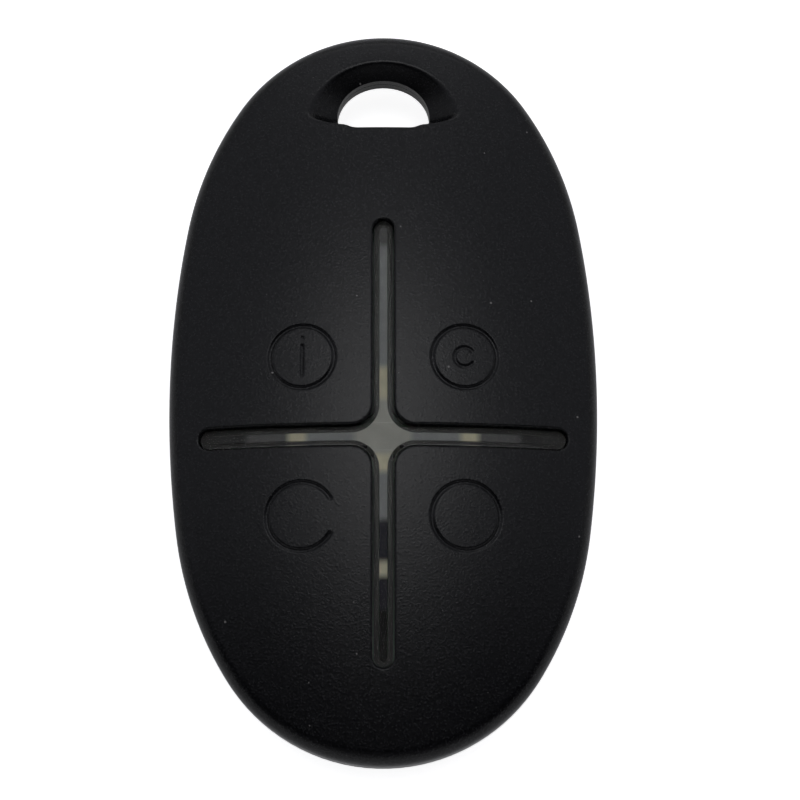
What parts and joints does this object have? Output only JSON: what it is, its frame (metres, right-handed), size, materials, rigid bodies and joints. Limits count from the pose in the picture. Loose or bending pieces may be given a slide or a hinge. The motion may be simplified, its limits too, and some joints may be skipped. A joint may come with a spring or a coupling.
{
  "type": "alarm key fob",
  "caption": "Oval pocket remote for an alarm, with flexing face keys round a clear light cross and a keyring hole.",
  "frame": {"origin": "bottom centre of the bounding box, on the flat of the back", "axes": "+Z out of the face, +Y towards the keyring hole, +X to the right seen from the face"},
  "size_m": [0.0366, 0.065, 0.01],
  "materials": {
    "case_plastic": "black ABS, spark-eroded grain",
    "guide_plastic": "clear polycarbonate",
    "carrier_plastic": "black ABS, plain",
    "board_laminate": "green solder mask on glass epoxy",
    "switch_plastic": "black nylon",
    "plunger_plastic": "beige nylon",
    "spring_steel": "stainless sheet",
    "cell_steel": "nickel-plated steel",
    "cell_seal": "polypropylene seal",
    "cell_filling": "pressed powder",
    "screw_steel": "blackened steel",
    "lamp_case": "white lamp body",
    "lamp_lens": "phosphor-filled silicone",
    "chip_resin": "moulded epoxy",
    "crystal_can": "nickel-plated can",
    "track_copper": "bare copper track",
    "capacitor_body": "tan ceramic",
    "resistor_body": "black film on white ceramic"
  },
  "bodies": {
    "case": {"front_cover": "case_plastic", "back_cover": "case_plastic", "light_guide": "guide_plastic", "guide_carrier": "carrier_plastic", "circuit_board": "board_laminate", "battery_can": "cell_steel", "battery_cap": "cell_steel", "battery_gasket": "cell_seal", "battery_core": "cell_filling", "battery_clip": "spring_steel", "negative_contact": "spring_steel", "case_screws": "screw_steel", "led_bases": "lamp_case", "led_lenses": "lamp_lens", "antenna_track": "track_copper", "radio_chip": "chip_resin", "crystal": "crystal_can", "chip_capacitors": "capacitor_body", "chip_resistors": "resistor_body", "switch_base_upper_left": "switch_plastic", "switch_plate_upper_left": "spring_steel", "switch_base_upper_right": "switch_plastic", "switch_plate_upper_right": "spring_steel", "switch_base_lower_left": "switch_plastic", "switch_plate_lower_left": "spring_steel", "switch_base_lower_right": "switch_plastic", "switch_plate_lower_right": "spring_steel"},
    "upper_left_key": {"key_upper_left": "case_plastic"},
    "upper_left_plunger": {"switch_plunger_upper_left": "plunger_plastic"},
    "upper_right_key": {"key_upper_right": "case_plastic"},
    "upper_right_plunger": {"switch_plunger_upper_right": "plunger_plastic"},
    "lower_left_key": {"key_lower_left": "case_plastic"},
    "lower_left_plunger": {"switch_plunger_lower_left": "plunger_plastic"},
    "lower_right_key": {"key_lower_right": "case_plastic"},
    "lower_right_plunger": {"switch_plunger_lower_right": "plunger_plastic"}
  },
  "joints": [
    {"name": "upper_left_press", "type": "hinge", "parent": "case", "child": "upper_left_key", "pos_m": [-0.01066, 0.00321, 0.0074], "axis": [0.6282, 0.778, 0], "range_deg": [0, 2.1], "stiffness_Nm_per_rad": 0.36},
    {"name": "upper_left_switch", "type": "slide", "parent": "case", "child": "upper_left_plunger", "axis": [0, 0, -1], "range_m": [0, 0.00025]},
    {"name": "upper_right_press", "type": "hinge", "parent": "case", "child": "upper_right_key", "pos_m": [0.01066, 0.00321, 0.0074], "axis": [0.6282, -0.778, 0], "range_deg": [0, 2.1], "stiffness_Nm_per_rad": 0.36},
    {"name": "upper_right_switch", "type": "slide", "parent": "case", "child": "upper_right_plunger", "axis": [0, 0, -1], "range_m": [0, 0.00025]},
    {"name": "lower_left_press", "type": "hinge", "parent": "case", "child": "lower_left_key", "pos_m": [-0.01066, -0.01401, 0.0074], "axis": [-0.6282, 0.778, 0], "range_deg": [0, 2.1], "stiffness_Nm_per_rad": 0.36},
    {"name": "lower_left_switch", "type": "slide", "parent": "case", "child": "lower_left_plunger", "axis": [0, 0, -1], "range_m": [0, 0.00025]},
    {"name": "lower_right_press", "type": "hinge", "parent": "case", "child": "lower_right_key", "pos_m": [0.01066, -0.01401, 0.0074], "axis": [-0.6282, -0.778, 0], "range_deg": [0, 2.1], "stiffness_Nm_per_rad": 0.36},
    {"name": "lower_right_switch", "type": "slide", "parent": "case", "child": "lower_right_plunger", "axis": [0, 0, -1], "range_m": [0, 0.00025]}
  ],
  "couplings": [
    {"joint": "upper_left_switch", "follows": "upper_left_press", "m_per_rad": 0.0067},
    {"joint": "upper_right_switch", "follows": "upper_right_press", "m_per_rad": 0.0067},
    {"joint": "lower_left_switch", "follows": "lower_left_press", "m_per_rad": 0.0067},
    {"joint": "lower_right_switch", "follows": "lower_right_press", "m_per_rad": 0.0067}
  ]
}
